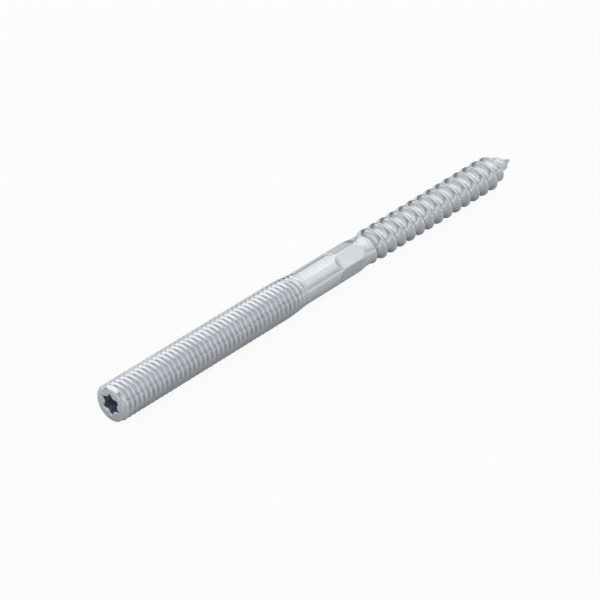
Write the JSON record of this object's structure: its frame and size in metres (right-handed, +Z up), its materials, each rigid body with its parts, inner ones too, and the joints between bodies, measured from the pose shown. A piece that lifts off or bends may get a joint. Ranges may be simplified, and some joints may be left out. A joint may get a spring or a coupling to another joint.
{
  "type": "hanger bolt",
  "caption": "Double-threaded screw: metric machine thread with a six-lobe recess, plain shank, pressed hexagon, coarse wood thread with a point.",
  "frame": {"origin": "centre of the machine end's flat face, on the screw's axis", "axes": "+X along the axis from the machine end to the point, +Z up as the screw lies on its side"},
  "size_m": [0.12, 0.008, 0.008],
  "materials": {
    "zinc_plated_steel": "bright blue-white zinc plating on cold-formed steel, soft satin gloss"
  },
  "bodies": {
    "root": {"screw": "zinc_plated_steel"}
  },
  "joints": []
}
